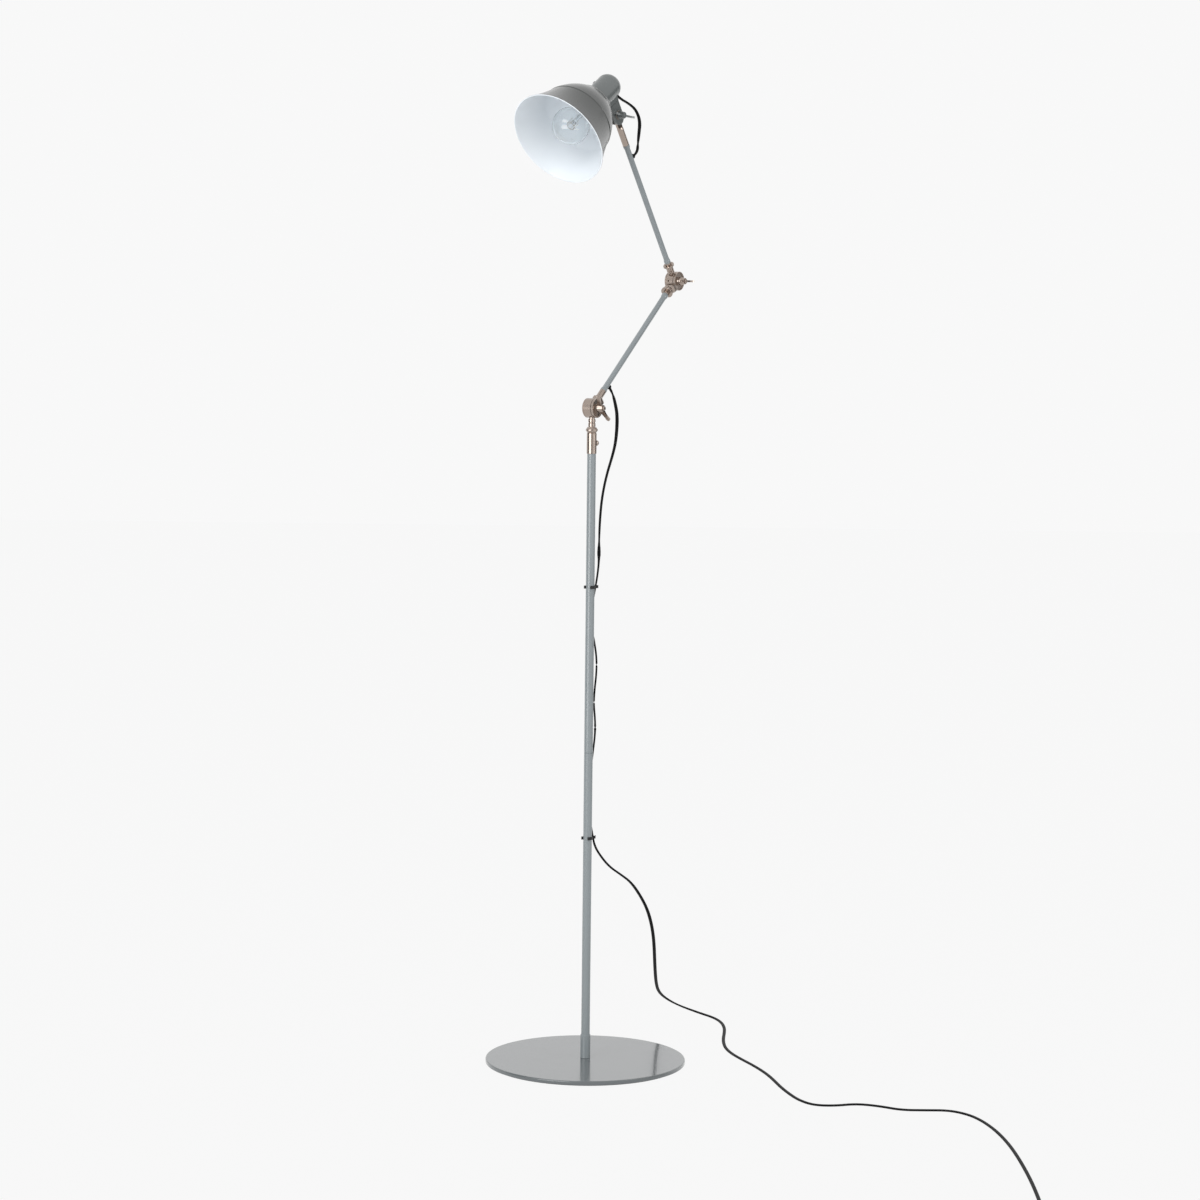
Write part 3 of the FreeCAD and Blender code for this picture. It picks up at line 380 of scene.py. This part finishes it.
FLOOR_RUN = [
    (10.6, 11.4, 327.6), (19.5, 15.5, 312), (33, 23, 294.5), (50, 34, 281), (66, 48, 267),
    (80, 69, 244), (92, 91, 218), (99, 115, 191), (103, 139, 165), (105, 165, 139), (106.4, 192, 114),
    (108, 220, 91), (110, 249, 70), (114, 281, 50), (125, 310, 33), (147, 331, 16.5), (180, 332, 4.5),
    (205, 307, LAY), (215.5, 273, LAY), (218.5, 236, LAY), (217, 200, LAY), (214, 164, LAY),
    (213, 127, LAY), (215.5, 91, LAY), (224, 56, LAY), (237, 22, LAY), (251, -12, LAY), (263, -46, LAY),
    (273, -81, LAY), (280, -116, LAY), (287, -152, LAY), (296, -187, LAY), (307, -222, LAY),
    (326, -252, LAY), (357, -255, LAY), (389, -242, LAY), (421, -254, LAY), (450, -275, LAY),
    (485, -275, LAY), (519, -274, LAY), (544, -298, LAY), (558, -331, LAY), (567, -366, LAY),
    (573.5, -402, LAY), (578, -439, LAY), (581.5, -480, LAY), (584, -535, LAY), (585.5, -600, LAY),
    (585.5, -665, LAY), (584, -730, LAY), (582, -780, LAY),
]
PLUG_RUN = [(579.1, -860, UPPER_LAY), (578.2, -884, 6.4), (576.6, -908, 6.95), (575.8, -926, 6.95)]
# The coil's shape in millimetres and degrees of turning.
COIL_CENTRE = (546, -832)
COIL_STEPS, STEP_ANGLE = 60, 30
START_ANGLE, CLIMB_FROM, CLIMB_TO = 180, 1080, 1260
OUTER_RADIUS, INNER_RADIUS = 36, 21.5
INWARD, OUTWARD, CLIMB_DIP, UPPER_RUN = 14.5, 11.6, 1.4, 720


BLENDED_CORDS = (
    ("twin_cord_head", HEAD_LOOP, ("head", "upper_arm"), "cord_head_loop", HEAD_CORD),
    ("twin_cord_arm", ARM_DROP, ("lower_arm", "pole_head"), "cord_from_arm", ARM_CORD),
    ("twin_cord_pole_head", HEAD_DROP, ("pole_head", "stand"), "cord_at_pole_head", POLE_HEAD_CORD),
)


def coil_turns():
    """Twelve route points a turn: inwards on the floor, up a layer, and outwards again."""
    points = []
    for step in range(COIL_STEPS):
        angle = START_ANGLE + STEP_ANGLE * step + STEP_ANGLE / 2
        layer = LAY
        if angle < CLIMB_FROM:
            radius = OUTER_RADIUS - INWARD * (angle - START_ANGLE) / (CLIMB_FROM - START_ANGLE)
        elif angle < CLIMB_TO:
            radius = INNER_RADIUS - CLIMB_DIP * math.sin(math.radians(angle - CLIMB_FROM))
            layer = LAY + (UPPER_LAY - LAY) * (angle - CLIMB_FROM) / (CLIMB_TO - CLIMB_FROM)
        else:
            radius = INNER_RADIUS + OUTWARD * (angle - CLIMB_TO) / UPPER_RUN
            layer = UPPER_LAY
        # Control points stand outside the round line that they make.
        radius /= math.cos(math.radians(STEP_ANGLE / 2))
        points.append((COIL_CENTRE[0] - radius * math.cos(math.radians(angle)),
                       COIL_CENTRE[1] + radius * math.sin(math.radians(angle)), layer))
    return points


def cord_line(name, route):
    """A smooth line whose control points are the route's points."""
    line = bpy.data.curves.new(name, "CURVE")
    line.dimensions = "3D"
    line.resolution_u = 6
    line.twist_mode = "Z_UP"
    spline = line.splines.new("NURBS")
    spline.points.add(len(route) - 1)
    for point, place in zip(spline.points, route):
        point.co = (*(Vector(place) * MM), 1)
    spline.order_u = 3
    spline.use_endpoint_u = True
    made = bpy.data.objects.new(name, line)
    bpy.context.collection.objects.link(made)
    return made


def cord_section(settings):
    """The outline of a flat twin cord: two round cores with a shallow groove between them."""
    outline = bpy.data.curves.new("cord_section", "CURVE")
    outline.dimensions = "2D"
    spline = outline.splines.new("POLY")
    steps = 20
    spline.points.add(steps - 1)
    for index, point in enumerate(spline.points):
        angle = 2 * math.pi * index / steps
        waist = 1 - 0.18 * abs(math.sin(angle)) ** 6
        point.co = (math.cos(angle) * settings.width / 2,
                    math.sin(angle) * waist * settings.thickness / 2, 0, 1)
    spline.use_cyclic_u = True
    made = bpy.data.objects.new("cord_section", outline)
    bpy.context.collection.objects.link(made)
    return made


def as_mesh(source, name):
    """The plain mesh of a curve or of an object with modifiers, as a piece of its own."""
    bpy.context.view_layer.update()
    shown = source.evaluated_get(bpy.context.evaluated_depsgraph_get())
    mesh = bpy.data.meshes.new_from_object(shown)
    made = bpy.data.objects.new(name, mesh)
    bpy.context.collection.objects.link(made)
    return made


def with_section(line, section):
    """Gives a cord's line its outline and closes its ends."""
    line.data.bevel_mode = "OBJECT"
    line.data.bevel_object = section
    line.data.use_fill_caps = True


def line_points(line):
    """The points that a cord's line runs through, read with no section on it."""
    line.data.bevel_object = None
    bpy.context.view_layer.update()
    shown = line.evaluated_get(bpy.context.evaluated_depsgraph_get())
    bare = bpy.data.meshes.new_from_object(shown)
    points = [tuple(vertex.co) for vertex in bare.vertices]
    bpy.data.meshes.remove(bare)
    return points


class LAMP_OT_cords(bpy.types.Operator):
    """Makes the flat twin cord in its four lengths and sets the one along the pole and floor on the
    stand
    """
    bl_idname = "lamp.cords"
    bl_label = "Cords"

    def execute(self, context):
        settings = context.scene.lamp.cord
        for name, route, bodies, node, real_length in BLENDED_CORDS:
            section = cord_section(settings)
            line = cord_line(name + "_line", route)
            with_section(line, section)
            tube = as_mesh(line, name)
            points = line_points(line)
            bpy.data.objects.remove(line)
            bpy.data.objects.remove(section)
            tube.data.materials.clear()
            tube.data.materials.append(FINISHES["rubber"])
            for face in tube.data.polygons:
                face.use_smooth = True
            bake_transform(tube)
            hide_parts(node)
        route = POLE_RUN + FLOOR_RUN + [(582, -815, LAY)] + coil_turns() + PLUG_RUN
        line = cord_line("twin_cord_stand", route)
        points = line_points(line)
        section = cord_section(settings)
        with_section(line, section)
        line.data.materials.append(FINISHES["rubber"])
        section.hide_render = True
        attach(line, "stand")
        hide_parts("cord_along_pole", "cord_on_floor", "cord_coil", "cord_to_plug")
        return {"FINISHED"}


# ---------------------------------------------------------------- details made by node trees
# Distances in millimetres of the details from the joint's centre or from LAMP_START.
BOLT_THREAD, BULB_THREAD, POST_MIDDLE = 20.5, 31, 92
FILAMENT_RADIUS, FILAMENT_REACH, CURL = 6, 99, 0.7
FILAMENT_STEPS, FILAMENT_CURLS = 120, 30


def new_tree(name, numbers):
    """A geometry node tree with named number inputs and a geometry output."""
    tree = bpy.data.node_groups.new(name, "GeometryNodeTree")
    tree.interface.new_socket("Geometry", in_out="INPUT", socket_type="NodeSocketGeometry")
    sockets = {}
    for label, kind in numbers:
        sockets[label] = tree.interface.new_socket(label, in_out="INPUT", socket_type=kind)
    tree.interface.new_socket("Geometry", in_out="OUTPUT", socket_type="NodeSocketGeometry")
    return tree, sockets


def join(tree, first, output, second, entry):
    tree.links.new(first.outputs[output], second.inputs[entry])


def ring_stack_tree():
    """Ridges of one radius stacked along Z, as on a thread."""
    tree, sockets = new_tree("Ring stack", [
        ("Radius", "NodeSocketFloat"), ("Ridge", "NodeSocketFloat"), ("Pitch", "NodeSocketFloat"),
        ("Count", "NodeSocketInt"), ("Material", "NodeSocketMaterial")])
    make = tree.nodes.new
    given, end = make("NodeGroupInput"), make("NodeGroupOutput")
    line = make("GeometryNodeMeshLine")
    circle, profile = (make("GeometryNodeCurvePrimitiveCircle") for _ in range(2))
    circle.inputs["Resolution"].default_value = 40
    profile.inputs["Resolution"].default_value = 8
    offset, sweep = make("ShaderNodeCombineXYZ"), make("GeometryNodeCurveToMesh")
    place = make("GeometryNodeInstanceOnPoints")
    realize, paint = make("GeometryNodeRealizeInstances"), make("GeometryNodeSetMaterial")
    join(tree, given, "Radius", circle, "Radius")
    join(tree, given, "Ridge", profile, "Radius")
    join(tree, given, "Count", line, "Count")
    join(tree, given, "Pitch", offset, "Z")
    join(tree, offset, 0, line, "Offset")
    join(tree, circle, "Curve", sweep, "Curve")
    join(tree, profile, "Curve", sweep, "Profile Curve")
    join(tree, line, "Mesh", place, "Points")
    join(tree, sweep, "Mesh", place, "Instance")
    join(tree, place, "Instances", realize, "Geometry")
    join(tree, realize, "Geometry", paint, "Geometry")
    join(tree, given, "Material", paint, "Material")
    join(tree, paint, "Geometry", end, "Geometry")
    return tree, sockets


def post_circle_tree():
    """Thin upright wires set round a circle, as the supports of a filament."""
    tree, sockets = new_tree("Post circle", [
        ("Radius", "NodeSocketFloat"), ("Height", "NodeSocketFloat"), ("Wire", "NodeSocketFloat"),
        ("Count", "NodeSocketInt"), ("Material", "NodeSocketMaterial")])
    make = tree.nodes.new
    given, end = make("NodeGroupInput"), make("NodeGroupOutput")
    circle, post = make("GeometryNodeMeshCircle"), make("GeometryNodeMeshCylinder")
    post.inputs["Vertices"].default_value = 8
    place = make("GeometryNodeInstanceOnPoints")
    realize, paint = make("GeometryNodeRealizeInstances"), make("GeometryNodeSetMaterial")
    join(tree, given, "Count", circle, "Vertices")
    join(tree, given, "Radius", circle, "Radius")
    join(tree, given, "Wire", post, "Radius")
    join(tree, given, "Height", post, "Depth")
    join(tree, circle, "Mesh", place, "Points")
    join(tree, post, "Mesh", place, "Instance")
    join(tree, place, "Instances", realize, "Geometry")
    join(tree, realize, "Geometry", paint, "Geometry")
    join(tree, given, "Material", paint, "Material")
    join(tree, paint, "Geometry", end, "Geometry")
    return tree, sockets


def grown(name, tree, sockets, inputs, placing, body):
    """Runs a node tree once, keeps its result as a plain mesh in place, and sets it on a body."""
    holder = bpy.data.objects.new(name + "_holder", bpy.data.meshes.new(name + "_holder"))
    bpy.context.collection.objects.link(holder)
    modifier = holder.modifiers.new("grow", "NODES")
    modifier.node_group = tree
    for label, value in inputs.items():
        modifier[sockets[label].identifier] = value
    made = as_mesh(holder, name)
    bpy.data.objects.remove(holder)
    if not made.data.polygons:
        raise RuntimeError(name + " came out empty")
    made.data.transform(placing)
    for face in made.data.polygons:
        face.use_smooth = True
    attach(made, body)
    return made


class LAMP_OT_threads(bpy.types.Operator):
    """Adds thread ridges to the ends of the hinge bolts and the base of the bulb"""
    bl_idname = "lamp.threads"
    bl_label = "Threads"

    def execute(self, context):
        pitch = context.scene.lamp.detail.thread_pitch
        tree, sockets = ring_stack_tree()
        for name, start, way, body in (
                ("pole_hinge_thread", joint_place("base_tilt"), joint_axis("base_tilt"), "pole_head"),
                ("elbow_thread", joint_place("elbow_tilt"), -joint_axis("elbow_tilt"), "elbow")):
            inputs = {"Radius": 2.95 * MM, "Ridge": 0.28 * MM, "Pitch": pitch, "Count": 2,
                      "Material": FINISHES["nickel"]}
            grown(name, tree, sockets, inputs, frame_along(start + way * BOLT_THREAD * MM, way), body)
        inputs = {"Radius": 12.75 * MM, "Ridge": 0.55 * MM, "Pitch": 3.6 * MM, "Count": 5,
                  "Material": FINISHES["brass"]}
        grown("bulb_thread", tree, sockets, inputs,
              frame_along(LAMP_START + LAMP_WAY * BULB_THREAD * MM, LAMP_WAY), "head")
        return {"FINISHED"}


class LAMP_OT_filament(bpy.types.Operator):
    """Makes the filament and its supports inside the clear bulb"""
    bl_idname = "lamp.filament"
    bl_label = "Filament"

    def execute(self, context):
        count = context.scene.lamp.detail.filament_posts
        tree, sockets = post_circle_tree()
        inputs = {"Radius": FILAMENT_RADIUS * MM, "Height": 14 * MM, "Wire": 0.22 * MM,
                  "Count": count, "Material": FINISHES["wire"]}
        grown("filament_posts", tree, sockets, inputs,
              frame_along(LAMP_START + LAMP_WAY * POST_MIDDLE * MM, LAMP_WAY), "head")
        coil = []
        for step in range(FILAMENT_STEPS + 1):
            angle = 2 * math.pi * step / FILAMENT_STEPS
            radius = FILAMENT_RADIUS + CURL * math.sin(FILAMENT_CURLS * angle)
            coil.append((radius * math.cos(angle), radius * math.sin(angle),
                         FILAMENT_REACH + CURL * math.cos(FILAMENT_CURLS * angle)))
        line = cord_line("filament_line", coil)
        line.data.bevel_depth = 0.16 * MM
        filament = as_mesh(line, "filament")
        bpy.data.objects.remove(line)
        filament.data.transform(frame_along(LAMP_START, LAMP_WAY))
        filament.data.materials.clear()
        filament.data.materials.append(FINISHES["wire"])
        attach(filament, "head")
        return {"FINISHED"}


# ---------------------------------------------------------------- stage
FLOOR_REACH, FLOOR_DROP, FLAG_HEIGHT = 12, -0.0002, 3.0
CAMERA_PLACE = (0.01479, -4.7327, 1.1281)
# Name, place, target, width across in metres, and power in watts.
LIGHTS = (
    ("low_left", (-2.3, -2.9, 0.35), (0, 0, 1.3), 2.6, 72),
    ("high_left", (-1.8, -2.4, 3.2), (0, 0, 0.7), 2.2, 44),
    ("right", (2.8, -1.6, 1.7), (0, 0, 1.0), 1.4, 26),
)
# Name, place and width in metres.
FLAGS = (
    ("flag_left", (-2.9, -0.2, 1.2), 1.5),
    ("flag_front", (0.5, -5.6, 1.2), 1.3),
    ("flag_right", (2.6, 0.9, 1.2), 1.0),
)


def backdrop_material(brightness):
    """Plain to the eye, in reflections and through glass, with a trace of the lamp's shadow."""
    finish = Finish("backdrop")
    plain = finish.node("ShaderNodeEmission", Color=(brightness,) * 3, Strength=1.0)
    matt = finish.node("ShaderNodeBsdfDiffuse", Color=(0.8, 0.8, 0.8))
    seen = finish.node("ShaderNodeLightPath", output="Is Camera Ray")
    glossy = finish.node("ShaderNodeLightPath", output="Is Glossy Ray")
    through = finish.node("ShaderNodeLightPath", output="Is Transmission Ray")
    shown = finish.maths_max(finish.maths_max(seen * 0.985, glossy), through)
    return finish.ending_in(finish.node("ShaderNodeMixShader", None, shown, matt, plain))


def studio_world(brightness, ambient):
    """A plain backdrop to the eye, in reflections and through glass, and dimmer as light."""
    world = bpy.data.worlds.new("studio")
    world.use_nodes = True
    tree = world.node_tree
    shine = tree.nodes["Background"]
    shine.inputs["Color"].default_value = (brightness, brightness, brightness, 1)
    rays, level = tree.nodes.new("ShaderNodeLightPath"), tree.nodes.new("ShaderNodeMapRange")
    seen = rays.outputs["Is Camera Ray"]
    for output in ("Is Glossy Ray", "Is Transmission Ray"):
        either = tree.nodes.new("ShaderNodeMath")
        either.operation = "MAXIMUM"
        tree.links.new(seen, either.inputs[0])
        tree.links.new(rays.outputs[output], either.inputs[1])
        seen = either.outputs[0]
    tree.links.new(seen, level.inputs["Value"])
    level.inputs["To Min"].default_value = ambient
    level.inputs["To Max"].default_value = 1.0
    tree.links.new(level.outputs["Result"], shine.inputs["Strength"])
    return world


def dark_flag(name, place, width, height):
    """An upright black card out of sight that gives metal its dark reflections."""
    mesh = bpy.data.meshes.new(name)
    across = Vector((-place[1], place[0], 0)).normalized() * width / 2
    foot = Vector((place[0], place[1], place[2] - height / 2))
    head = foot + Vector((0, 0, height))
    corners = [foot - across, foot + across, head + across, head - across]
    mesh.from_pydata(corners, [], [(0, 1, 2, 3)])
    finish = Finish(name)
    black = finish.node("ShaderNodeEmission", Color=(0.02, 0.02, 0.02), Strength=1.0)
    mesh.materials.append(finish.ending_in(black))
    card = bpy.data.objects.new(name, mesh)
    card.visible_camera = card.visible_diffuse = False
    card.visible_shadow = card.visible_transmission = False
    bpy.context.collection.objects.link(card)


def soft_light(name, place, target, across, power):
    lamp = bpy.data.lights.new(name, "AREA")
    lamp.shape = "SQUARE"
    lamp.size = across
    lamp.energy = power
    made = bpy.data.objects.new(name, lamp)
    made.location = place
    made.rotation_euler = (Vector(target) - Vector(place)).to_track_quat("-Z", "Y").to_euler()
    bpy.context.collection.objects.link(made)


class LAMP_OT_stage(bpy.types.Operator):
    """Sets the floor, the soft light and the camera"""
    bl_idname = "lamp.stage"
    bl_label = "Stage"

    def execute(self, context):
        settings = context.scene.lamp.stage
        mesh = bpy.data.meshes.new("studio_floor")
        corners = [(across * FLOOR_REACH, along * FLOOR_REACH, 0)
                   for across, along in ((-1, -1), (1, -1), (1, 1), (-1, 1))]
        mesh.from_pydata(corners, [], [(0, 1, 2, 3)])
        mesh.transform(Matrix.Translation((0, 0, FLOOR_DROP)))
        mesh.materials.append(backdrop_material(settings.background))
        floor = bpy.data.objects.new("studio_floor", mesh)
        context.collection.objects.link(floor)
        context.scene.world = studio_world(settings.background, settings.ambient)
        for light in LIGHTS:
            soft_light(*light)
        for flag in FLAGS:
            dark_flag(*flag, FLAG_HEIGHT)
        data = bpy.data.cameras.new("camera")
        data.lens = settings.camera_lens
        data.sensor_width = 36
        camera = bpy.data.objects.new("camera", data)
        tilt = Matrix.Rotation(math.radians(90) - settings.camera_pitch, 4, "X")
        roll = Matrix.Rotation(settings.camera_roll, 4, "Z")
        camera.matrix_world = Matrix.Translation(CAMERA_PLACE) @ tilt @ roll
        context.collection.objects.link(camera)
        context.scene.camera = camera
        context.scene.view_settings.view_transform = "Standard"
        return {"FINISHED"}


class LAMP_PT_panel(bpy.types.Panel):
    """Lists the steps that dress the lamp"""
    bl_label = "Floor lamp"
    bl_space_type = "VIEW_3D"
    bl_region_type = "UI"
    bl_category = "Floor lamp"

    def draw(self, context):
        lamp = context.scene.lamp
        for group in (lamp.finish, lamp.cord, lamp.detail, lamp.stage):
            box = self.layout.box()
            for key in group.__annotations__:
                box.prop(group, key)
        for operator in STEPS:
            self.layout.operator(operator.bl_idname)


STEPS = (LAMP_OT_stage, LAMP_OT_finishes, LAMP_OT_cords, LAMP_OT_threads, LAMP_OT_filament)
CLASSES = (FinishSettings, CordSettings, DetailSettings, StageSettings, LampSettings,
           *STEPS, LAMP_PT_panel)


def register():
    for kind in CLASSES:
        bpy.utils.register_class(kind)
    bpy.types.Scene.lamp = PointerProperty(type=LampSettings)


def unregister():
    del bpy.types.Scene.lamp
    for kind in reversed(CLASSES):
        bpy.utils.unregister_class(kind)


def main():
    register()
    bpy.ops.lamp.stage()
    bpy.ops.lamp.finishes()
    bpy.ops.lamp.cords()
    bpy.ops.lamp.threads()
    bpy.ops.lamp.filament()


if __name__ == "__main__":
    main()
